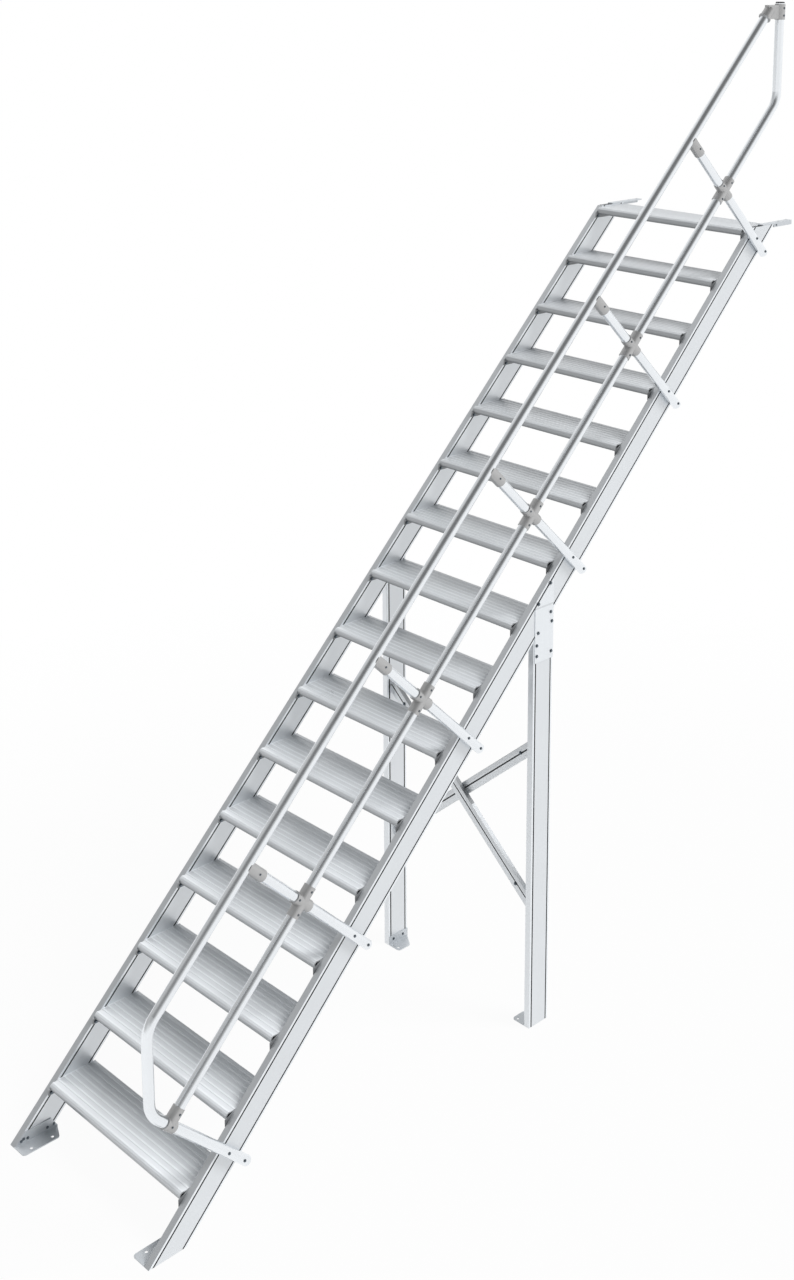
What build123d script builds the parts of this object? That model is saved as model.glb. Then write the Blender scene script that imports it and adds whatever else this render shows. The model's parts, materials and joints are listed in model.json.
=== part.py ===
from build123d import *
import os
from math import atan2, cos, sin

# A straight aluminium ship ladder: two hollow stringers with open treads between them,
# two support posts with crossed braces, and a tube handrail on the climber's right.
# Millimetres. X runs towards the landing, Y to the climber's left, Z up. The pitch line
# is the front groove of the stringers, and it starts at x = 0 on the floor.

# Stair layout
step_count = 16
rise = 208.0
going = 208.0
first_tread_top = 196.0
clear_width = 868.0

# Hollow extrusion of the stringers and support posts
section_depth = 113.0
section_thickness = 30.0
section_wall = 3.0
section_corner = 2.0
groove_width = 4.0
groove_depth = 1.5
groove_inset = 12.5
stringer_above_top_tread = 5.0

# Treads, measured from the pitch line at the height of the tread
tread_nose = 52.0
tread_rear = 152.7
tread_height = 33.0
deck_thickness = 3.0
tread_wall = 2.5
nose_radius = 12.0
nose_box_depth = 38.0
nose_box_chamfer = 6.0
web_count = 2
web_height = 18.0
rib_count = 8
rib_pitch = 25.4
rib_base = 10.0
rib_crest = 6.0
rib_height = 1.5
rib_start = 13.8
end_plate_thickness = 4.0
end_plate_front = 60.0
end_plate_drop = 49.0
end_plate_shoulder = 20.0
end_plate_flat = 90.0

# Support posts, gusset plates and braces
support_front = 1904.0
gusset_thickness = 3.0
gusset_bottom = 1668.0
gusset_inset = 5.0
gusset_below_groove = 2.0
brace_width = 54.0
brace_depth = 20.0
brace_wall = 2.0
brace_groove_from_top = 25.0
brace_low = 560.0
brace_high = 1285.0
brace_setback = 26.0
brace_spacing = 3.0
brace_end_gap = 0.3
cleat_thickness = 4.0
cleat_width = 44.0
cleat_length = 96.0
cleat_leg = 34.0

# Foot angles
foot_thickness = 4.0
foot_flange = 70.0
foot_corner = 14.0
foot_hole = 13.0
foot_hole_from_leg = 46.0
stringer_foot_leg = 47.0
stringer_foot_toe = 27.0
stringer_foot_slant = 32.0
stringer_foot_hole_start = 45.0
stringer_foot_hole_pitch = 91.0
post_foot_leg = 41.0
post_foot_slant = 45.0
post_foot_hole_start = 15.0

# Handrail tubes
tube_diameter = 40.0
tube_wall = 2.0
rail_clearance = 0.3
top_rail_height = 670.0
mid_rail_height = 333.0
rail_lead = 3.0
rail_leg_along = 434.8
rail_leg_end = 126.0
rail_bend_radius = 110.0
rail_post_pitch = 841.0
rail_post_count = 5
rail_post_end = 113.0
upright_setback = 97.0
upright_above_rail_end = 27.7
upright_bend_radius = 100.0
rail_end_to_upright = 76.0

# Handrail castings and cap
casting_wall = 3.3
casting_clearance = 0.2
bracket_length = 72.0
bracket_seat = 28.0
cross_clamp_length = 124.0
socket_length = 22.0
end_clamp_collar = 50.0
end_clamp_reach = 64.0
elbow_collar = 68.0
elbow_drop = 4.0
elbow_socket = 52.0
elbow_neck = 24.0
elbow_ring_width = 6.0
elbow_ring_height = 4.0
cap_thickness = 5.0
cap_chamfer = 2.0
cap_plug = 15.0
cap_clearance = 0.3

# Landing brackets on the top ends of the stringers
landing_reach = 136.0
landing_seat = 84.0
landing_thickness = 5.0
landing_leg = 20.0
landing_hole = 11.0
landing_hole_pitch = 60.0
landing_hole_inset = 25.0

# Values that follow from the sizes above
pitch = atan2(rise, going)
up_slope = Vector(cos(pitch), 0, sin(pitch))
off_slope = Vector(-sin(pitch), 0, cos(pitch))
front_margin = groove_inset
rear_margin = groove_inset - section_depth
top_tread_z = first_tread_top + (step_count - 1) * rise
stringer_top = top_tread_z + stringer_above_top_tread
inner_right = section_thickness
inner_left = section_thickness + clear_width
outer_left = 2 * section_thickness + clear_width
support_rear = support_front + section_depth
tube_radius = tube_diameter / 2
casting_bore = tube_radius + casting_clearance
casting_radius = casting_bore + casting_wall
rail_y = -(casting_radius + rail_clearance - casting_wall - casting_clearance)


def on_slope(along, out, y):
    """Point at a distance along the pitch line and at right angles to it."""
    return up_slope * along + off_slope * out + Vector(0, y, 0)


def height_at(x, out):
    """Height of the line that runs parallel to the pitch line at the offset out."""
    return (out + x * sin(pitch)) / cos(pitch)


def x_at(z, out):
    """Place along X where that line reaches the height z."""
    return (z * cos(pitch) - out) / sin(pitch)


def plate(points, y_start, thickness):
    """Flat plate with an outline of (x, z) points, from y_start towards +Y."""
    face_plane = Plane((0, y_start + thickness, 0), x_dir=(1, 0, 0), z_dir=(0, -1, 0))
    outline = make_face(Polyline(*points, close=True))
    return extrude(face_plane * outline, amount=thickness)


def mirrored(shape):
    """The same piece on the other side of the stair's middle plane."""
    middle = Plane((0, outer_left / 2, 0), x_dir=(1, 0, 0), z_dir=(0, 1, 0))
    return mirror(shape, about=middle)


# Stringers and support posts

def box_section():
    """Hollow box extrusion with two grooves along each wide face."""
    outer = RectangleRounded(section_depth, section_thickness, section_corner)
    bore_depth = section_depth - 2 * section_wall
    bore_thickness = section_thickness - 2 * section_wall
    bore = RectangleRounded(bore_depth, bore_thickness, section_corner)
    groove_at = section_depth / 2 - groove_inset
    grooves = [
        Pos(x, y) * Rectangle(groove_width, 2 * groove_depth)
        for x in (-groove_at, groove_at)
        for y in (-section_thickness / 2, section_thickness / 2)
    ]
    return outer - bore - grooves


def stringer(y_inside_face):
    """Sloping stringer, cut level at the floor and at its top."""
    middle = (front_margin + rear_margin) / 2
    start = on_slope(-section_depth, middle, y_inside_face)
    section_plane = Plane(start, x_dir=off_slope, z_dir=up_slope)
    length = stringer_top / sin(pitch) + 4 * section_depth
    bar = extrude(section_plane * box_section(), amount=length)
    slab_length = 2 * x_at(stringer_top, rear_margin) + 4 * section_depth
    slab = Pos(0, y_inside_face, stringer_top / 2) * Box(
        2 * slab_length, 4 * section_thickness, stringer_top
    )
    return bar & slab


def support_post(y_middle):
    """Upright of the same extrusion, mitred to the stringer's underside."""
    foot = Plane((support_front + section_depth / 2, y_middle, 0), x_dir=(1, 0, 0))
    height = height_at(support_rear, rear_margin) + section_depth
    post = extrude(foot * box_section(), amount=height)
    underside = Plane(
        on_slope(0, rear_margin, y_middle), x_dir=up_slope, z_dir=off_slope
    )
    above = underside * Pos(0, 0, height / 2) * Box(4 * height, 4 * section_thickness, height)
    return post - above


def gusset_plate():
    """Plate over the joint of post and stringer, on the right outer face."""
    front = support_front + gusset_inset
    upper = front_margin - groove_inset - gusset_below_groove
    points = [
        (front, gusset_bottom),
        (support_rear, gusset_bottom),
        (support_rear, height_at(support_rear, upper)),
        (front, height_at(front, upper)),
    ]
    return plate(points, -gusset_thickness, gusset_thickness)


# Treads

def tread_profile():
    """Cross section of the tread: ribbed deck, hollow nose, rear skirt and webs."""
    depth = tread_nose + tread_rear
    middle = (tread_rear - tread_nose) / 2
    height = tread_height - rib_height
    block = Pos(middle, -rib_height - height / 2) * Rectangle(depth, height)
    nose_corners = block.vertices().group_by(Axis.X)[0]
    block = fillet(nose_corners, nose_radius)
    deck_underside = -rib_height - deck_thickness
    cavity_depth = nose_box_depth - 2 * tread_wall
    cavity_height = height - deck_thickness - tread_wall
    cavity_x = -tread_nose + tread_wall + cavity_depth / 2
    cavity = Pos(cavity_x, deck_underside - cavity_height / 2) * Rectangle(
        cavity_depth, cavity_height
    )
    cavity = chamfer(cavity.vertices().group_by(Axis.X)[0], nose_box_chamfer)
    open_start = -tread_nose + nose_box_depth
    open_end = tread_rear - tread_wall
    open_width = open_end - open_start
    open_middle = (open_start + open_end) / 2
    underside = Pos(open_middle, deck_underside - tread_height / 2) * Rectangle(
        open_width, tread_height
    )
    bay = open_width / (web_count + 1)
    webs = [
        Pos(open_start + bay * (index + 1), deck_underside - web_height / 2)
        * Rectangle(tread_wall, web_height)
        for index in range(web_count)
    ]
    ribs = [tread_rib(rib_start - tread_nose + rib_pitch * index) for index in range(rib_count)]
    return block - cavity - (underside - webs) + ribs


def tread_rib(x):
    """Raised rib of the deck, narrower at its crest, in cross section."""
    return make_face(
        Polyline(
            (x - rib_base / 2, -rib_height),
            (x - rib_crest / 2, 0),
            (x + rib_crest / 2, 0),
            (x + rib_base / 2, -rib_height),
            close=True,
        )
    )


def end_plate(y_start):
    """Plate on the end of a tread, bolted to the inside of the stringer."""
    points = [
        (-end_plate_front, -end_plate_shoulder),
        (-front_margin, 0),
        (tread_rear, 0),
        (tread_rear, -tread_height),
        (-end_plate_front + end_plate_flat, -end_plate_drop),
        (-end_plate_front, -end_plate_drop),
    ]
    return plate(points, y_start, end_plate_thickness)


def tread():
    """Whole tread with its end plates, at the pitch line at height zero."""
    body_start = inner_right + end_plate_thickness
    body_length = clear_width - 2 * end_plate_thickness
    profile_plane = Plane(
        (0, body_start + body_length, 0), x_dir=(1, 0, 0), z_dir=(0, -1, 0)
    )
    body = extrude(profile_plane * tread_profile(), amount=body_length)
    right_plate = end_plate(inner_right)
    left_plate = end_plate(inner_left - end_plate_thickness)
    return body + right_plate + left_plate


# Crossed braces between the posts

def brace(z_right, z_left, front):
    """Hollow flat bar across the stair, cut upright beside both posts."""
    span = Vector(0, clear_width, z_left - z_right)
    direction = span.normalized()
    upward = Vector(0, -direction.Z, direction.Y)
    start = Vector(front + brace_depth / 2, inner_right, z_right)
    section_plane = Plane(start - direction * brace_width, x_dir=upward, z_dir=direction)
    bar = Rectangle(brace_width, brace_depth)
    bore = Rectangle(brace_width - 2 * brace_wall, brace_depth - 2 * brace_wall)
    groove = Pos(brace_width / 2 - brace_groove_from_top, -brace_depth / 2) * Rectangle(
        groove_width, 2 * groove_depth
    )
    solid = extrude(
        section_plane * (bar - bore - groove), amount=span.length + 2 * brace_width
    )
    return solid & between_posts(brace_end_gap)


def between_posts(gap):
    """Block that fills the room between the posts, less a gap at each side."""
    height = height_at(support_rear, 0)
    middle_y = outer_left / 2
    width = clear_width - 2 * gap
    return Pos(support_front, middle_y, height / 2) * Box(4 * section_depth, width, height)


def cleat(z_end, z_other, front):
    """Angle cleat behind the right end of a brace, against the post."""
    span = Vector(0, clear_width, z_other - z_end)
    direction = span.normalized()
    upward = Vector(0, -direction.Z, direction.Y)
    back = front + brace_depth
    start = Vector(back + cleat_thickness / 2, inner_right, z_end)
    strap_plane = Plane(start - direction * cleat_width, x_dir=upward, z_dir=direction)
    strap = extrude(
        strap_plane * Rectangle(cleat_width, cleat_thickness),
        amount=cleat_length + cleat_width,
    )
    leg_height = cleat_width / direction.Y
    leg = Pos(back + cleat_leg / 2, inner_right + cleat_thickness / 2, z_end) * Box(
        cleat_leg, cleat_thickness, leg_height
    )
    return (strap & between_posts(0)) + leg


# Foot angles

def foot_angle(leg_points, start, end, slant, holes):
    """Angle on the inside of the right member: upright leg, base flange and holes."""
    leg = plate(leg_points, inner_right, foot_thickness)
    free_edge = inner_right + foot_flange
    outline = make_face(
        Polyline(
            (start, inner_right),
            (end, inner_right),
            (end - slant, free_edge),
            (start, free_edge),
            close=True,
        )
    )
    outline = fillet(outline.vertices().group_by(Axis.Y)[-1], foot_corner)
    flange = extrude(outline, amount=foot_thickness)
    bores = [
        Pos(x, inner_right + foot_thickness + foot_hole_from_leg, 0)
        * Cylinder(foot_hole / 2, 4 * foot_thickness)
        for x in holes
    ]
    return leg + flange - bores


def stringer_foot():
    """Foot angle of the right stringer; its leg follows the stringer's front."""
    front = x_at(0, front_margin)
    rear = x_at(0, rear_margin)
    toe = rear + stringer_foot_toe
    leg_points = [
        (front, 0),
        (x_at(stringer_foot_leg, front_margin), stringer_foot_leg),
        (rear, stringer_foot_leg),
        (toe, foot_thickness),
        (toe, 0),
    ]
    first_hole = front + stringer_foot_hole_start
    holes = (first_hole, first_hole + stringer_foot_hole_pitch)
    return foot_angle(leg_points, front, toe, stringer_foot_slant, holes)


def post_foot():
    """Foot angle of the right support post."""
    leg_points = [
        (support_front, 0),
        (support_front, post_foot_leg),
        (support_rear, post_foot_leg),
        (support_rear, 0),
    ]
    hole = support_front + post_foot_hole_start
    return foot_angle(leg_points, support_front, support_rear, post_foot_slant, [hole])


# Handrail

def tube_ring():
    """Cross section of the handrail tube."""
    return Circle(tube_radius) - Circle(tube_radius - tube_wall)


def bent_tube(points, bend_radius):
    """Tube along straight runs that are joined by bends."""
    path = FilletPolyline(*points, radius=bend_radius)
    start = Plane(origin=path @ 0, z_dir=path % 0)
    return sweep(start * tube_ring(), path=path)


def rod(start, direction, length, radius):
    """Round bar from a start point."""
    return extrude(Plane(start, z_dir=direction) * Circle(radius), amount=length)


def straight_tube(start, direction, length):
    """Handrail tube from a start point."""
    return extrude(Plane(start, z_dir=direction) * tube_ring(), amount=length)


def sleeve(middle, direction, length, radius):
    """Round bar centred on a point."""
    return rod(middle - direction * (length / 2), direction, length, radius)


upright_x = x_at(top_tread_z, 0) + upright_setback
rail_end_x = upright_x - rail_end_to_upright
rail_end_z = height_at(rail_end_x, top_rail_height)
upright_top = rail_end_z + upright_above_rail_end


def top_rail():
    """Top rail: down the slope, down its bent lead and along its leg."""
    lead_x = -rail_lead
    upper_bend = Vector(lead_x, rail_y, height_at(lead_x, top_rail_height))
    lower_bend_z = (rail_leg_along - lead_x * cos(pitch)) / sin(pitch)
    lower_bend = Vector(lead_x, rail_y, lower_bend_z)
    leg_end = on_slope(rail_leg_along, -rail_leg_end, rail_y)
    upper_end = Vector(rail_end_x, rail_y, rail_end_z)
    return bent_tube([leg_end, lower_bend, upper_bend, upper_end], rail_bend_radius)


def mid_rail():
    """Middle rail, which turns up at the landing and becomes the last upright."""
    start_along = rail_leg_along + casting_radius + rail_clearance
    start = on_slope(start_along, mid_rail_height, rail_y)
    bend = Vector(upright_x, rail_y, height_at(upright_x, mid_rail_height))
    top = Vector(upright_x, rail_y, upright_top)
    return bent_tube([start, bend, top], upright_bend_radius)


def rail_post_along(index):
    """Place of a handrail post along the pitch line; index 0 is the rail's own leg."""
    return rail_leg_along + rail_post_pitch * index


def rail_post(index):
    """Handrail post in two lengths, below and above the middle rail."""
    along = rail_post_along(index)
    seat = casting_radius + rail_clearance
    lower_length = mid_rail_height - seat + rail_post_end
    lower = straight_tube(on_slope(along, -rail_post_end, rail_y), off_slope, lower_length)
    upper_start = mid_rail_height + seat
    upper_length = top_rail_height - bracket_seat - upper_start
    upper = straight_tube(on_slope(along, upper_start, rail_y), off_slope, upper_length)
    return Compound(children=[lower, upper])


def rail_bracket(index):
    """Socket under the top rail, coped to the rail, over the end of a post."""
    along = rail_post_along(index)
    bottom = top_rail_height - tube_radius - bracket_length
    axis_start = on_slope(along, bottom, rail_y)
    body = rod(axis_start, off_slope, top_rail_height - bottom, casting_radius)
    rail_bore = sleeve(
        on_slope(along, top_rail_height, rail_y), up_slope, 4 * casting_radius, casting_bore
    )
    post_top = top_rail_height - bracket_seat + rail_clearance
    post_bore = rod(axis_start, off_slope, post_top - bottom, casting_bore)
    return body - rail_bore - post_bore


def cross_clamp(index):
    """Sleeve round the middle rail with a socket for each length of post."""
    middle = on_slope(rail_post_along(index), mid_rail_height, rail_y)
    socket_span = 2 * (casting_radius + socket_length)
    body = sleeve(middle, up_slope, cross_clamp_length, casting_radius)
    body += sleeve(middle, off_slope, socket_span, casting_radius)
    body -= sleeve(middle, up_slope, 2 * cross_clamp_length, casting_bore)
    for direction in (off_slope, off_slope * -1):
        socket_start = middle + direction * casting_radius
        body -= rod(socket_start, direction, 2 * socket_length, casting_bore)
    return body


def end_clamp():
    """Collar round the rail's leg with a socket for the middle rail."""
    middle = on_slope(rail_leg_along, mid_rail_height, rail_y)
    body = sleeve(middle, off_slope, end_clamp_collar, casting_radius)
    body += rod(middle, up_slope, end_clamp_reach, casting_radius)
    body -= sleeve(middle, off_slope, 2 * end_clamp_collar, casting_bore)
    socket_start = middle + up_slope * casting_radius
    return body - rod(socket_start, up_slope, end_clamp_reach, casting_bore)


def elbow_clamp():
    """Clamp that joins the upper end of the top rail to the upright."""
    collar_middle = Vector(upright_x, rail_y, upright_top - elbow_drop - elbow_collar / 2)
    rail_end = Vector(rail_end_x, rail_y, rail_end_z)
    socket_start = rail_end - up_slope * elbow_socket
    body = sleeve(collar_middle, Vector(0, 0, 1), elbow_collar, casting_radius)
    body += rod(socket_start, up_slope, elbow_socket, casting_radius)
    body += rod(socket_start, up_slope, elbow_ring_width, casting_radius + elbow_ring_height)
    neck_length = upright_x - rail_end_x + tube_radius
    neck_height = elbow_collar - 2 * elbow_drop
    neck_middle = Vector(upright_x - neck_length / 2, rail_y, collar_middle.Z)
    body += Pos(*neck_middle) * Box(neck_length, elbow_neck, neck_height)
    body -= sleeve(collar_middle, Vector(0, 0, 1), 2 * elbow_collar, casting_bore)
    bore_start = rail_end - up_slope * (2 * elbow_socket)
    return body - rod(bore_start, up_slope, 2 * elbow_socket + rail_clearance, casting_bore)


def end_cap():
    """Plastic cap on the upright."""
    up = Vector(0, 0, 1)
    seat = Vector(upright_x, rail_y, upright_top)
    plug_radius = tube_radius - tube_wall - cap_clearance
    head = rod(seat, up, cap_thickness, tube_radius)
    head = chamfer(head.edges().sort_by(Axis.Z)[-1], cap_chamfer)
    return head + rod(seat - up * cap_plug, up, cap_plug, plug_radius)


# Landing brackets

def landing_bracket():
    """Angle on the level top of the right stringer that reaches over the landing."""
    rear = x_at(stringer_top, rear_margin)
    start = rear - landing_seat
    end = rear + landing_reach
    flange = Pos(
        (start + end) / 2, section_thickness / 2, stringer_top + landing_thickness / 2
    ) * Box(end - start, section_thickness, landing_thickness)
    leg_start = rear + rail_clearance
    leg_top = stringer_top + landing_thickness
    leg_points = [
        (leg_start, leg_top - landing_leg),
        (end, leg_top - landing_leg),
        (end, leg_top),
        (leg_start, leg_top),
    ]
    last_hole = end - landing_hole_inset
    bores = [
        Pos(x, section_thickness / 2, leg_top)
        * Cylinder(landing_hole / 2, 4 * landing_thickness)
        for x in (last_hole - landing_hole_pitch, last_hole)
    ]
    return flange + plate(leg_points, 0, landing_thickness) - bores


def all_nodes():
    """Every node of the stair, by name."""
    nodes = {
        "stringer_right": stringer(section_thickness / 2),
        "stringer_left": stringer(outer_left - section_thickness / 2),
        "support_post_right": support_post(section_thickness / 2),
        "support_post_left": support_post(outer_left - section_thickness / 2),
    }
    one_tread = tread()
    for index in range(step_count):
        z = first_tread_top + rise * index
        name = "top_tread" if index == step_count - 1 else f"tread_{index + 1:02d}"
        nodes[name] = Pos(x_at(z, 0), 0, z) * one_tread
    gusset = gusset_plate()
    nodes["gusset_plate_right"] = gusset
    nodes["gusset_plate_left"] = mirrored(gusset)
    front_brace_x = support_front + brace_setback
    rear_brace_x = front_brace_x + brace_depth + brace_spacing
    nodes["brace_front"] = brace(brace_low, brace_high, front_brace_x)
    nodes["brace_rear"] = brace(brace_high, brace_low, rear_brace_x)
    nodes["brace_cleats"] = Compound(
        children=[
            cleat(brace_low, brace_high, front_brace_x),
            cleat(brace_high, brace_low, rear_brace_x),
            mirrored(cleat(brace_high, brace_low, front_brace_x)),
            mirrored(cleat(brace_low, brace_high, rear_brace_x)),
        ]
    )
    nodes["stringer_foot_right"] = stringer_foot()
    nodes["stringer_foot_left"] = mirrored(stringer_foot())
    nodes["post_foot_right"] = post_foot()
    nodes["post_foot_left"] = mirrored(post_foot())
    nodes["top_rail"] = top_rail()
    nodes["mid_rail"] = mid_rail()
    posts = range(1, rail_post_count + 1)
    for index in posts:
        nodes[f"rail_post_{index}"] = rail_post(index)
    nodes["rail_brackets"] = Compound(children=[rail_bracket(index) for index in posts])
    nodes["cross_clamps"] = Compound(children=[cross_clamp(index) for index in posts])
    nodes["end_clamp"] = end_clamp()
    nodes["elbow_clamp"] = elbow_clamp()
    nodes["end_cap"] = end_cap()
    nodes["landing_bracket_right"] = landing_bracket()
    nodes["landing_bracket_left"] = mirrored(landing_bracket())
    return nodes


def main():
    """Write one file per node, with the origin below the middle of the whole stair."""
    nodes = all_nodes()
    whole = Compound(children=[solid for shape in nodes.values() for solid in shape.solids()])
    box = whole.bounding_box()
    to_origin = Pos(-box.center().X, -box.center().Y, -box.min.Z)
    os.makedirs("parts", exist_ok=True)
    for name, shape in nodes.items():
        placed = [to_origin * solid for solid in shape.solids()]
        piece = placed[0] if len(placed) == 1 else Compound(children=placed)
        export_step(piece, f"parts/{name}.step")


main()
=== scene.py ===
import json
import math

import bmesh
import bpy
from mathutils import Matrix, Vector


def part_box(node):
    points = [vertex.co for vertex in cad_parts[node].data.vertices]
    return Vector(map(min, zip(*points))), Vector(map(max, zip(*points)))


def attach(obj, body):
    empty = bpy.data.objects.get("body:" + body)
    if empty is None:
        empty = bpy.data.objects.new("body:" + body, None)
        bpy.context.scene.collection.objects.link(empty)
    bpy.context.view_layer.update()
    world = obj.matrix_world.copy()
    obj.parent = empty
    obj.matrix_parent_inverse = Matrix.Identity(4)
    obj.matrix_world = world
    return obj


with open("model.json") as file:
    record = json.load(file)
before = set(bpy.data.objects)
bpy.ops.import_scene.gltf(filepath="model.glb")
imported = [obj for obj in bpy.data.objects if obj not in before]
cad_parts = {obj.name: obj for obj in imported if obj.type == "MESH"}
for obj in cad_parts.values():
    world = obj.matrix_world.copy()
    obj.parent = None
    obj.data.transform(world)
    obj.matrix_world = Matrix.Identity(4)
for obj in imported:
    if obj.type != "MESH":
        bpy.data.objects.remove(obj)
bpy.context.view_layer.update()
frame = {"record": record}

# Sizes in metres. The stair climbs along +X, and its width runs along Y.
MM = 0.001
RISE = 208 * MM
FIRST_TREAD = 196 * MM
STEP_COUNT = 16
PITCH = math.radians(45)
SECTION_DEPTH = 113 * MM
GROOVE_INSET = 12.5 * MM
TUBE_RADIUS = 20 * MM
CASTING_RADIUS = 23.5 * MM
BRACE_WIDTH = 54 * MM
BRACE_GROOVE = 2.0
GUSSET_JOINT = 1900 * MM
TOP_RAIL_OUT = 670 * MM
MID_RAIL_OUT = 333 * MM
FOOT_LEG = 4 * MM
END_PLATE = 4 * MM
FIRST_POST_ALONG = 434.8 * MM
POST_SPACING = 841 * MM
POST_COUNT = 5

LOW, HIGH = (Vector(corner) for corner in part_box("stringer_right"))
OUTER_RIGHT = LOW.y
INNER_RIGHT = HIGH.y
INNER_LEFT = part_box("stringer_left")[0][1]
# The pitch line, the front groove of the stringers, meets the floor here
PITCH_X = LOW.x + GROOVE_INSET / math.sin(PITCH)
RAIL_Y = (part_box("top_rail")[0][1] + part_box("top_rail")[1][1]) / 2
UP_SLOPE = Vector((math.cos(PITCH), 0, math.sin(PITCH)))
OFF_SLOPE = Vector((-math.sin(PITCH), 0, math.cos(PITCH)))


def on_slope(along, out, y):
    """Point at a distance along the pitch line and at right angles to it."""
    return Vector((PITCH_X, y, 0)) + UP_SLOPE * along + OFF_SLOPE * out


# Materials

def node_tree(name):
    """New material with its node tree and its main shader."""
    material = bpy.data.materials.new(name)
    material.use_nodes = True
    tree = material.node_tree
    return material, tree, tree.nodes["Principled BSDF"]


def position(tree):
    """Place on the object, in metres."""
    return tree.nodes.new("ShaderNodeTexCoord").outputs["Object"]


def mapped(tree, scale, tilt=0.0):
    """Place on the object, turned about Y and scaled unevenly."""
    turn = tree.nodes.new("ShaderNodeMapping")
    turn.inputs["Rotation"].default_value = (0, tilt, 0)
    stretch = tree.nodes.new("ShaderNodeMapping")
    stretch.inputs["Scale"].default_value = scale
    tree.links.new(position(tree), turn.inputs["Vector"])
    tree.links.new(turn.outputs["Vector"], stretch.inputs["Vector"])
    return stretch.outputs["Vector"]


def along(tree, direction, origin):
    """Distance in millimetres from a point along a direction."""
    product = tree.nodes.new("ShaderNodeVectorMath")
    product.operation = "DOT_PRODUCT"
    product.inputs[1].default_value = direction
    tree.links.new(position(tree), product.inputs[0])
    offset = Vector(direction).dot(Vector(origin))
    return math_node(tree, "MULTIPLY_ADD", product.outputs["Value"], 1 / MM, -offset / MM)


def math_node(tree, operation, first, second=0.0, third=0.0):
    """Mathematics on values or sockets."""
    node = tree.nodes.new("ShaderNodeMath")
    node.operation = operation
    for socket, value in zip(node.inputs, (first, second, third)):
        if isinstance(value, (int, float)):
            socket.default_value = value
        else:
            tree.links.new(value, socket)
    return node.outputs[0]


def noise(tree, vector, scale, detail=3.0):
    """Noise texture value."""
    texture = tree.nodes.new("ShaderNodeTexNoise")
    texture.inputs["Scale"].default_value = scale
    texture.inputs["Detail"].default_value = detail
    tree.links.new(vector, texture.inputs["Vector"])
    return texture.outputs["Fac"]


def spread(tree, value, low, high, start=0.3, end=0.7):
    """Maps a value from one range to another."""
    node = tree.nodes.new("ShaderNodeMapRange")
    node.inputs["From Min"].default_value = start
    node.inputs["From Max"].default_value = end
    node.inputs["To Min"].default_value = low
    node.inputs["To Max"].default_value = high
    tree.links.new(value, node.inputs["Value"])
    return node.outputs["Result"]


def bands(tree, distance, stops, soft=False):
    """Shade that changes with distance; each stop is (distance, shade) from there on."""
    low, high = stops[0][0], stops[-1][0] + 1.0
    node = tree.nodes.new("ShaderNodeValToRGB")
    ramp = node.color_ramp
    ramp.interpolation = "LINEAR" if soft else "CONSTANT"
    for index, (place, shade) in enumerate(stops):
        spot = (place - low) / (high - low)
        element = ramp.elements[0] if index == 0 else ramp.elements.new(spot)
        element.position = spot
        element.color = (shade, shade, shade, 1)
    ramp.elements.remove(ramp.elements[-1])
    tree.links.new(spread(tree, distance, 0, 1, low, high), node.inputs["Fac"])
    return node.outputs["Color"]


def multiplied(tree, first, second):
    """Product of two colours."""
    node = tree.nodes.new("ShaderNodeVectorMath")
    node.operation = "MULTIPLY"
    tree.links.new(first, node.inputs[0])
    tree.links.new(second, node.inputs[1])
    return node.outputs["Vector"]


def bump(tree, shader, height, distance, strength):
    """Adds a bump to the main shader."""
    node = tree.nodes.new("ShaderNodeBump")
    node.inputs["Strength"].default_value = strength
    node.inputs["Distance"].default_value = distance
    tree.links.new(height, node.inputs["Height"])
    tree.links.new(node.outputs["Normal"], shader.inputs["Normal"])


def metal(name, tone, roughness, metallic, grain, tilt=0.0, contrast=0.05, relief=0.25):
    """Metal with drawing lines along one axis, soft mottling and uneven sheen.

    Returns the material, its tree, its shader and the colour that a shade can multiply."""
    material, tree, shader = node_tree(name)
    lines = noise(tree, mapped(tree, grain, tilt), 1.0, 2.0)
    patches = noise(tree, mapped(tree, (1, 1, 1), tilt), 5.0, 4.0)
    blended = math_node(tree, "MULTIPLY_ADD", lines, 0.5, math_node(tree, "MULTIPLY", patches, 0.5))
    node = tree.nodes.new("ShaderNodeValToRGB")
    node.color_ramp.elements[0].position = 0.35
    node.color_ramp.elements[1].position = 0.65
    node.color_ramp.elements[0].color = tuple(channel * (1 - contrast) for channel in tone) + (1,)
    node.color_ramp.elements[1].color = tone + (1,)
    tree.links.new(blended, node.inputs["Fac"])
    colour = node.outputs["Color"]
    tree.links.new(colour, shader.inputs["Base Color"])
    sheen = spread(tree, blended, roughness * 0.85, roughness * 1.15)
    tree.links.new(sheen, shader.inputs["Roughness"])
    shader.inputs["Metallic"].default_value = metallic
    if relief:
        bump(tree, shader, lines, 0.0002, relief)
    return material, tree, shader, colour


def shaded(parts, shade):
    """Multiplies the metal's colour by a shade and returns the material."""
    material, tree, shader, colour = parts
    tree.links.new(multiplied(tree, colour, shade), shader.inputs["Base Color"])
    return material


def grey(value, cool=0.03):
    """Cool neutral grey."""
    return (value - cool, value, value + cool)


FINE = 700.0
ALONG = 5.0
# Painted shade in the grooves: half its width in millimetres, and its shade
GROOVE_HALF = 3.2
GROOVE_PAINTED_SHADE = 0.04
PANEL_SHADE = 0.86
# Painted shade on the flanges of the extrusions
FLANGE_PAINTED_SHADE = 0.7
DEPTH_MM = SECTION_DEPTH / MM
INSET_MM = GROOVE_INSET / MM


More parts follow.
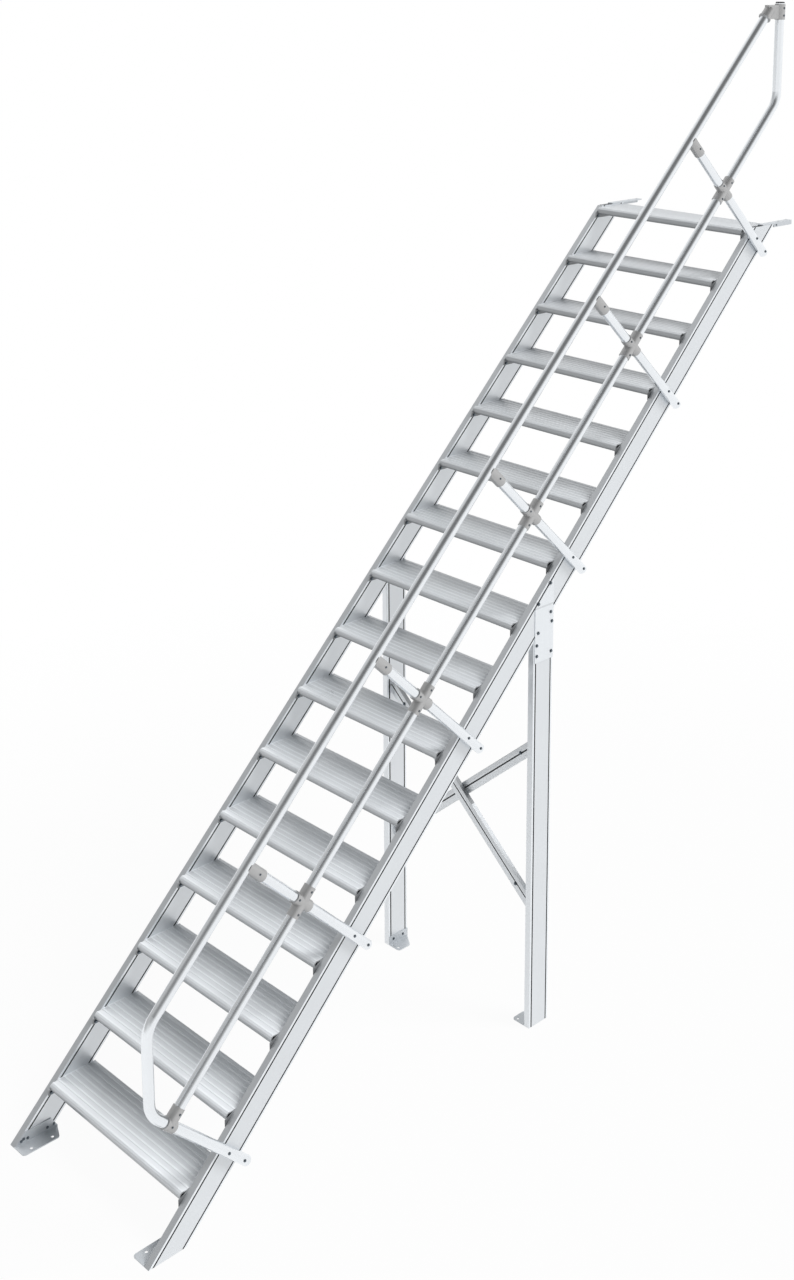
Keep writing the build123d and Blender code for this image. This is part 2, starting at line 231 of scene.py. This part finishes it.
def section_bands(front_shade, rear_shade):
    """Painted shades across the extrusion, from its front face to its rear face, in millimetres: the
    flanges take the given shades, the grooves a painted shade and the lips beside them a painted highlight.
    """
    front_groove = INSET_MM
    rear_groove = DEPTH_MM - INSET_MM
    return [
        (-1.0, front_shade),
        # The lips keep full tone against the panel: a painted highlight
        (0.25, 1.0),
        (front_groove - GROOVE_HALF, GROOVE_PAINTED_SHADE),
        (front_groove + GROOVE_HALF, PANEL_SHADE),
        (rear_groove - GROOVE_HALF, GROOVE_PAINTED_SHADE),
        (rear_groove + GROOVE_HALF, 1.0),
        (DEPTH_MM - 0.25, rear_shade),
    ]


def stringer_metal():
    """Anodised extrusion of the stringers, with painted shade in the grooves and on the flanges and a
    painted highlight on the pale lips.
    """
    parts = metal("stringer_metal", grey(0.93), 0.34, 0.7, (ALONG, FINE, FINE), PITCH)
    tree = parts[1]
    start = on_slope(0, GROOVE_INSET, 0)
    across = along(tree, -OFF_SLOPE, start)
    return shaded(parts, bands(tree, across, section_bands(FLANGE_PAINTED_SHADE, FLANGE_PAINTED_SHADE)))


def post_metal():
    """The same extrusion, upright, with painted shade in its grooves and on its rear flange and a painted
    highlight on its lips.
    """
    parts = metal("post_metal", grey(0.93), 0.34, 0.7, (FINE, FINE, ALONG))
    tree = parts[1]
    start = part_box("support_post_right")[0]
    across = along(tree, (1, 0, 0), start)
    return shaded(parts, bands(tree, across, section_bands(1.0, FLANGE_PAINTED_SHADE)))


def brace_metal(node, falls):
    """Flat bar of a brace, with painted shade in its groove and on its narrow sides; falls is 1 where its
    left end is lower.
    """
    low, high = (Vector(corner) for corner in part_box(node))
    width = INNER_LEFT - INNER_RIGHT
    rise = (high.z - low.z) - BRACE_WIDTH / math.cos(math.atan2(high.z - low.z, width))
    slope = math.atan2(rise, width)
    direction = Vector((0, math.sin(slope) * falls, math.cos(slope)))
    middle = (low + high) / 2
    parts = metal(f"{node}_metal", grey(0.95), 0.36, 0.5, (FINE, ALONG, FINE))
    tree = parts[1]
    above = along(tree, direction, middle)
    edge = BRACE_WIDTH / MM / 2
    # Painted shade on the lower and upper narrow sides and in the groove; a greyer band above the groove
    shades = [
        (-edge - 2, 0.8),
        (-edge + 0.3, 1.0),
        (BRACE_GROOVE - GROOVE_HALF, GROOVE_PAINTED_SHADE),
        (BRACE_GROOVE + GROOVE_HALF, 0.98),
        (BRACE_GROOVE + 9, 0.86),
        (edge - 0.3, 0.4),
    ]
    return shaded(parts, bands(tree, above, shades))


# Shades of a tread in millimetres: painted light and shade behind the pitch line, over its deck and up the
# stair, and the end plates' darker tone across it
CREST_PAINTED_LIGHT = [(-60, 1.0), (20, 1.0), (70, 0.9), (140, 0.86), (160, 0.86)]
DECK_PAINTED_SHADE = [(-60, 0.97), (-30, 0.93), (5, 0.86), (60, 0.8), (130, 0.8), (160, 0.82)]
NOSE_PAINTED_SHADE = [(-40, 0.36), (-32, 0.4), (-22, 0.55), (-14, 0.66), (-7, 1.0)]
UPPER_STEP_PAINTED_SHADE = [(-60, 1.0), (1000, 1.0), (2600, 0.8), (3200, 0.84)]
END_PLATE_SHADES = [(-1, 0.5), (4.1, 1.0), (900, 1.0)]


def tread_metal():
    """Mill finished tread, with a painted highlight on the rib crests and painted shade towards the rear of
    each deck, on the nose face and on the upper steps.
    """
    parts = metal("tread_metal", grey(0.96), 0.32, 0.45, (FINE, ALONG, FINE), 0.0, 0.06)
    tree = parts[1]
    behind = along(tree, -OFF_SLOPE * math.sqrt(2), (PITCH_X, 0, 0))
    height = along(tree, (0, 0, 1), (0, 0, FIRST_TREAD))
    half = RISE / MM / 2
    over_deck = math_node(tree, "WRAP", height, half, -half)
    # Painted highlight on the rib crests, and painted shade towards the rear of each deck
    crest = spread(tree, over_deck, 0, 1, -1.1, -0.4)
    painted_crest_light = bands(tree, behind, CREST_PAINTED_LIGHT, True)
    painted_deck_shade = bands(tree, behind, DECK_PAINTED_SHADE, True)
    mix = tree.nodes.new("ShaderNodeMix")
    mix.data_type = "RGBA"
    tree.links.new(crest, mix.inputs[0])
    tree.links.new(painted_deck_shade, mix.inputs[6])
    tree.links.new(painted_crest_light, mix.inputs[7])
    across = along(tree, (0, 1, 0), (0, INNER_RIGHT, 0))
    ends = bands(tree, across, END_PLATE_SHADES)
    # Painted shade on the nose face and below the deck, darker further down
    face = bands(tree, over_deck, NOSE_PAINTED_SHADE, True)
    # Painted shade on the upper steps, darker towards the top, multiplied with the nose's painted shade
    painted_step_shade = bands(tree, height, UPPER_STEP_PAINTED_SHADE, True)
    painted_shading = multiplied(tree, face, painted_step_shade)
    return shaded(parts, multiplied(tree, multiplied(tree, mix.outputs[2], ends), painted_shading))


def gusset_metal():
    """Sheet of the gusset plates, with the joint between its two lengths."""
    parts = metal("gusset_metal", grey(0.86), 0.36, 0.6, (FINE, FINE, ALONG))
    tree = parts[1]
    height = along(tree, (0, 0, 1), (0, 0, GUSSET_JOINT))
    return shaded(parts, bands(tree, height, [(-1000, 1.0), (-0.8, 0.82), (0.8, 1.0), (1000, 1.0)]))


def plastic(name, colour):
    """Dull moulded plastic with a fine grain."""
    material, tree, shader = node_tree(name)
    grain = noise(tree, mapped(tree, (1, 1, 1)), 900.0)
    node = tree.nodes.new("ShaderNodeValToRGB")
    node.color_ramp.elements[0].color = colour + (1,)
    node.color_ramp.elements[1].color = tuple(channel * 1.8 for channel in colour) + (1,)
    tree.links.new(grain, node.inputs["Fac"])
    tree.links.new(node.outputs["Color"], shader.inputs["Base Color"])
    tree.links.new(spread(tree, grain, 0.45, 0.6), shader.inputs["Roughness"])
    bump(tree, shader, grain, 0.0002, 0.3)
    return material


MATERIALS = {
    "stringer": stringer_metal(),
    "post": post_metal(),
    "brace_front": brace_metal("brace_front", -1),
    "brace_rear": brace_metal("brace_rear", 1),
    "gusset": gusset_metal(),
    "tread_aluminium": tread_metal(),
    "tube_aluminium": metal(
        "tube_metal", grey(0.93), 0.24, 1.0, (60, 60, 60), 0.0, 0.04, 0.0
    )[0],
    "cast_aluminium": metal(
        "cast_metal", grey(0.54, 0.0), 0.42, 0.8, (500, 500, 500), 0.0, 0.12, 0.4
    )[0],
    "sheet_aluminium": metal(
        "sheet_metal", grey(0.66), 0.4, 0.6, (FINE, ALONG, FINE), 0.0, 0.08
    )[0],
    "bolt": metal("bolt_metal", grey(0.22), 0.35, 0.9, (500, 500, 500), 0.0, 0.3)[0],
    "black_plastic": plastic("black_plastic", (0.012, 0.012, 0.014)),
}


def dress_nodes():
    """Gives every CAD node its material: its slot's, or one that follows its own lines."""
    own = {
        "stringer_right": "stringer",
        "stringer_left": "stringer",
        "support_post_right": "post",
        "support_post_left": "post",
        "gusset_plate_right": "gusset",
        "gusset_plate_left": "gusset",
        "brace_front": "brace_front",
        "brace_rear": "brace_rear",
    }
    for part in frame["record"]["subparts"]:
        name = part["node"]
        chosen = own.get(name, part["material_slot"])
        node = bpy.data.objects[name]
        node.data.materials.clear()
        node.data.materials.append(MATERIALS[chosen])


# Fasteners

BOLT_SIDES = 6
WASHER_SIDES = 24


def add_bolt(mesh, place, normal, width, height):
    """Bolt head with a washer and a chamfered top, standing on a face."""
    turn = normal.to_track_quat("Z", "Y").to_matrix().to_4x4()
    base = Matrix.Translation(place) @ turn
    washer = width * 0.66
    rings = [
        (washer, 0.0, WASHER_SIDES),
        (washer, height * 0.22, WASHER_SIDES),
        (width / 2, height * 0.24, BOLT_SIDES),
        (width / 2, height * 0.85, BOLT_SIDES),
        (width / 2 * 0.86, height, BOLT_SIDES),
    ]
    loops = []
    for radius, level, count in rings:
        loop = []
        for index in range(count):
            angle = 2 * math.pi * index / count
            point = Vector((radius * math.cos(angle), radius * math.sin(angle), level))
            loop.append(mesh.verts.new(base @ point))
        loops.append(loop)
    for lower, upper in ((0, 1), (2, 3), (3, 4)):
        first, second = loops[lower], loops[upper]
        count = len(first)
        for index in range(count):
            following = (index + 1) % count
            mesh.faces.new((first[index], first[following], second[following], second[index]))
    mesh.faces.new(loops[1])
    mesh.faces.new(loops[4])
    mesh.faces.new(list(reversed(loops[0])))
    mesh.faces.new(list(reversed(loops[2])))


def bolt_group(name, places, width, height):
    """One piece with a bolt head at each (place, normal)."""
    mesh = bmesh.new()
    for place, normal in places:
        add_bolt(mesh, place, normal, width, height)
    data = bpy.data.meshes.new(name)
    mesh.to_mesh(data)
    mesh.free()
    piece = bpy.data.objects.new(name, data)
    bpy.context.collection.objects.link(piece)
    data.materials.append(MATERIALS["bolt"])
    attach(piece, "root")


RIGHTWARD = Vector((0, -1, 0))
LEFTWARD = Vector((0, 1, 0))
FRONTWARD = Vector((-1, 0, 0))


def gusset_bolts():
    """Eight bolts on each gusset plate; places from its lower front corner."""
    spots = [(89, 327), (19, 254), (92, 202), (99, 160), (18, 129), (11, 76), (96, 30), (11, 30)]
    places = []
    for node, normal in (("gusset_plate_right", RIGHTWARD), ("gusset_plate_left", LEFTWARD)):
        low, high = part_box(node)
        y = low[1] if normal is RIGHTWARD else high[1]
        for x, z in spots:
            places.append((Vector((low[0] + x * MM, y, low[2] + z * MM)), normal))
    bolt_group("gusset_bolts", places, 11 * MM, 5 * MM)


def tread_bolts():
    """Bolt near the nose of every end plate, on its inner face."""
    places = []
    for index in range(STEP_COUNT):
        z = FIRST_TREAD + RISE * index
        centre = Vector((PITCH_X + z / math.tan(PITCH) - 47 * MM, 0, z - 40 * MM))
        places.append((centre + Vector((0, INNER_RIGHT + END_PLATE, 0)), LEFTWARD))
        places.append((centre + Vector((0, INNER_LEFT - END_PLATE, 0)), RIGHTWARD))
    bolt_group("tread_bolts", places, 12 * MM, 6 * MM)


def post_along(index):
    """Place of a handrail post along the pitch line; index 0 is the rail's own leg."""
    return FIRST_POST_ALONG + POST_SPACING * index


def rail_post_bolts():
    """Two bolts through the foot of each handrail post and of the rail's leg."""
    places = []
    for index in range(POST_COUNT + 1):
        for out in (-1, -95):
            spot = on_slope(post_along(index), out * MM, RAIL_Y - TUBE_RADIUS)
            places.append((spot, RIGHTWARD))
    bolt_group("rail_post_bolts", places, 9 * MM, 4 * MM)


# Screws of the castings, from the crossing of the tubes or from the top rail
CLAMP_SCREW = 45 * MM
SOCKET_SCREW = 33 * MM
BRACKET_SCREW = 58 * MM


def casting_screws():
    """Screws of the handrail's castings, on the outer side."""
    y = RAIL_Y - CASTING_RADIUS
    places = []
    for index in range(1, POST_COUNT + 1):
        post = post_along(index)
        spots = [
            (post - CLAMP_SCREW, MID_RAIL_OUT),
            (post + CLAMP_SCREW, MID_RAIL_OUT),
            (post, MID_RAIL_OUT + SOCKET_SCREW),
            (post, TOP_RAIL_OUT - BRACKET_SCREW),
        ]
        places += [(on_slope(at, out, y), RIGHTWARD) for at, out in spots]
    for offset in (CLAMP_SCREW, 0):
        places.append((on_slope(post_along(0) + offset, MID_RAIL_OUT, y), RIGHTWARD))
    bolt_group("casting_screws", places, 6.5 * MM, 3 * MM)


def elbow_screws():
    """Screws of the clamp at the rail's upper end."""
    low, high = (Vector(corner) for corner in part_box("elbow_clamp"))
    collar_x = high.x - CASTING_RADIUS
    y = RAIL_Y - CASTING_RADIUS
    places = [(Vector((collar_x, y, high.z - drop * MM)), RIGHTWARD) for drop in (18, 50)]
    bolt_group("elbow_screws", places, 8 * MM, 3 * MM)


def foot_bolts():
    """Bolts through the upright legs of the foot angles, on their free sides."""
    places = []
    spots = [(11, 16), (21.5, 21), (39, 17), (124, 16.5), (153, 17)]
    for side, face, normal in (("left", INNER_LEFT, RIGHTWARD), ("right", INNER_RIGHT, LEFTWARD)):
        y = face + normal.y * FOOT_LEG
        for x, z in spots:
            places.append((Vector((PITCH_X + x * MM, y, z * MM)), normal))
        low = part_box(f"support_post_{side}")[0]
        for x in (26, 84):
            places.append((Vector((low[0] + x * MM, y, 24 * MM)), normal))
    bolt_group("foot_bolts", places, 9 * MM, 4 * MM)


def brace_bolts():
    """Bolt near each end of the crossed braces, on their front faces."""
    places = []
    middle_y = (INNER_LEFT + INNER_RIGHT) / 2
    for node, ends in (("brace_rear", (1, -1)), ("brace_front", (-1, 1))):
        low, high = (Vector(corner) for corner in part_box(node))
        middle_z = (low.z + high.z) / 2
        for side, end in zip((-1, 1), ends):
            spot = Vector((low.x, middle_y + side * 350 * MM, middle_z + end * 297 * MM))
            places.append((spot, FRONTWARD))
    bolt_group("brace_bolts", places, 12 * MM, 6 * MM)


def bracket_screws():
    """Screw in the wide face of each landing bracket's leg."""
    places = []
    for node, normal in (("landing_bracket_right", RIGHTWARD), ("landing_bracket_left", LEFTWARD)):
        low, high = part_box(node)
        y = low[1] if normal is RIGHTWARD else high[1]
        places.append((Vector((high[0] - 118 * MM, y, high[2] - 11 * MM)), normal))
    bolt_group("bracket_screws", places, 7 * MM, 3 * MM)


# Light: an even soft level, a key lamp that reflections don't show, and a white floor
SOFT_LIGHT = 0.38
KEY_POWER = 3.5
KEY_ANGLE = math.radians(22)
KEY_FROM = (0.33, -0.54, 0.78)
FLOOR_TONE = 0.5
FLOOR_HALF = 60.0
FLOOR_HEIGHT = -0.0005


def white_floor():
    """Floor that looks white to the camera and in metal, and keeps the shadow."""
    floor = bpy.data.objects.new("floor", bpy.data.meshes.new("floor"))
    mesh = bmesh.new()
    signs = ((-1, -1), (1, -1), (1, 1), (-1, 1))
    corners = [mesh.verts.new((x * FLOOR_HALF, y * FLOOR_HALF, FLOOR_HEIGHT)) for x, y in signs]
    mesh.faces.new(corners)
    mesh.to_mesh(floor.data)
    mesh.free()
    bpy.context.collection.objects.link(floor)
    material = bpy.data.materials.new("white_floor")
    material.use_nodes = True
    tree = material.node_tree
    tree.nodes.clear()
    output = tree.nodes.new("ShaderNodeOutputMaterial")
    diffuse = tree.nodes.new("ShaderNodeBsdfDiffuse")
    diffuse.inputs["Color"].default_value = (FLOOR_TONE, FLOOR_TONE, FLOOR_TONE, 1)
    glow = tree.nodes.new("ShaderNodeEmission")
    glow.inputs["Color"].default_value = (1, 1, 1, 1)
    glow.inputs["Strength"].default_value = 1.0
    mix = tree.nodes.new("ShaderNodeMixShader")
    path = tree.nodes.new("ShaderNodeLightPath")
    either = tree.nodes.new("ShaderNodeMath")
    either.operation = "MAXIMUM"
    tree.links.new(path.outputs["Is Camera Ray"], either.inputs[0])
    tree.links.new(path.outputs["Is Glossy Ray"], either.inputs[1])
    length = tree.nodes.new("ShaderNodeVectorMath")
    length.operation = "LENGTH"
    tree.links.new(position(tree), length.inputs[0])
    fade = spread(tree, length.outputs["Value"], 0.96, 1.0, 2.5, 5.0)
    tree.links.new(math_node(tree, "MULTIPLY", either.outputs[0], fade), mix.inputs["Fac"])
    tree.links.new(diffuse.outputs[0], mix.inputs[1])
    tree.links.new(glow.outputs[0], mix.inputs[2])
    tree.links.new(mix.outputs[0], output.inputs["Surface"])
    floor.data.materials.append(material)


# Shades that metal shows, by how near a direction is to the middle of a dark patch
CEILING_SHADES = [(0.3, 1.0), (0.6, 0.76), (0.75, 0.44), (0.9, 0.18)]
SIDE_SHADES = [(0.35, 1.0), (0.6, 0.8), (0.9, 0.5)]


def sky():
    """White to the camera, darker overhead and to the front left in metal, soft on the object."""
    world = bpy.data.worlds.new("studio")
    bpy.context.scene.world = world
    world.use_nodes = True
    tree = world.node_tree
    tree.nodes.clear()
    output = tree.nodes.new("ShaderNodeOutputWorld")
    white = tree.nodes.new("ShaderNodeBackground")
    white.inputs["Color"].default_value = (1, 1, 1, 1)
    white.inputs["Strength"].default_value = 1.0
    soft = tree.nodes.new("ShaderNodeBackground")
    soft.inputs["Color"].default_value = (0.95, 0.98, 1.0, 1)
    soft.inputs["Strength"].default_value = SOFT_LIGHT
    seen = tree.nodes.new("ShaderNodeBackground")
    direction = tree.nodes.new("ShaderNodeTexCoord").outputs["Generated"]
    ceiling = lobe(tree, direction, (-0.25, -0.4, 0.88), CEILING_SHADES)
    side = lobe(tree, direction, (-0.68, 0.73, 0.0), SIDE_SHADES)
    tree.links.new(multiplied(tree, ceiling, side), seen.inputs["Color"])
    path = tree.nodes.new("ShaderNodeLightPath")
    mirrored = tree.nodes.new("ShaderNodeMixShader")
    tree.links.new(path.outputs["Is Glossy Ray"], mirrored.inputs["Fac"])
    tree.links.new(soft.outputs[0], mirrored.inputs[1])
    tree.links.new(seen.outputs[0], mirrored.inputs[2])
    through = math_node(tree, "MAXIMUM", path.outputs["Is Camera Ray"], path.outputs["Is Transmission Ray"])
    mix = tree.nodes.new("ShaderNodeMixShader")
    tree.links.new(through, mix.inputs["Fac"])
    tree.links.new(mirrored.outputs[0], mix.inputs[1])
    tree.links.new(white.outputs[0], mix.inputs[2])
    tree.links.new(mix.outputs[0], output.inputs["Surface"])


def lobe(tree, direction, centre, stops):
    """Shade of the surroundings by how near a direction is to a centre."""
    nearness = tree.nodes.new("ShaderNodeVectorMath")
    nearness.operation = "DOT_PRODUCT"
    nearness.inputs[1].default_value = Vector(centre).normalized()
    tree.links.new(direction, nearness.inputs[0])
    node = tree.nodes.new("ShaderNodeValToRGB")
    for index, (place, shade) in enumerate(stops):
        element = node.color_ramp.elements[0] if index == 0 else node.color_ramp.elements.new(place)
        element.position = place
        element.color = (shade, shade, shade, 1)
    node.color_ramp.elements.remove(node.color_ramp.elements[-1])
    tree.links.new(nearness.outputs["Value"], node.inputs["Fac"])
    return node.outputs["Color"]


def key_light():
    """Soft key from behind, right of and above the stair."""
    lamp = bpy.data.lights.new("key", "SUN")
    lamp.energy = KEY_POWER
    lamp.angle = KEY_ANGLE
    holder = bpy.data.objects.new("key", lamp)
    holder.rotation_euler = Vector(KEY_FROM).to_track_quat("Z", "Y").to_euler()
    holder.visible_glossy = False
    bpy.context.collection.objects.link(holder)


# Camera, in the stair's own measures: eye from the pitch line's foot and the right face
EYE = (-2.897, -4.51754, 4.55)
EYE_YAW = 0.75506
EYE_PITCH = -0.204
EYE_ROLL = 0.01234
FOCAL_PIXELS = 1721.16
IMAGE_HEIGHT = 1280
SENSOR = 36.0
SHIFT = (-0.11, -0.265)


def set_camera():
    """Camera at the photograph's viewing angle."""
    data = bpy.data.cameras.new("camera")
    holder = bpy.data.objects.new("camera", data)
    bpy.context.collection.objects.link(holder)
    data.sensor_width = SENSOR
    data.lens = FOCAL_PIXELS / IMAGE_HEIGHT * SENSOR
    data.shift_x, data.shift_y = SHIFT
    data.clip_end = 200
    forward = Vector((
        math.cos(EYE_PITCH) * math.cos(EYE_YAW),
        math.cos(EYE_PITCH) * math.sin(EYE_YAW),
        math.sin(EYE_PITCH),
    ))
    right = Vector((math.sin(EYE_YAW), -math.cos(EYE_YAW), 0))
    up = right.cross(forward)
    turned_right = right * math.cos(EYE_ROLL) + up * math.sin(EYE_ROLL)
    turned_up = up * math.cos(EYE_ROLL) - right * math.sin(EYE_ROLL)
    axes = Matrix((turned_right, turned_up, -forward)).transposed()
    holder.matrix_world = Matrix.Translation(
        Vector(EYE) + Vector((PITCH_X, OUTER_RIGHT, 0))
    ) @ axes.to_4x4()
    bpy.context.scene.camera = holder


dress_nodes()
gusset_bolts()
tread_bolts()
rail_post_bolts()
casting_screws()
elbow_screws()
foot_bolts()
brace_bolts()
bracket_screws()
white_floor()
sky()
key_light()
set_camera()
bpy.context.scene.view_settings.view_transform = "Standard"
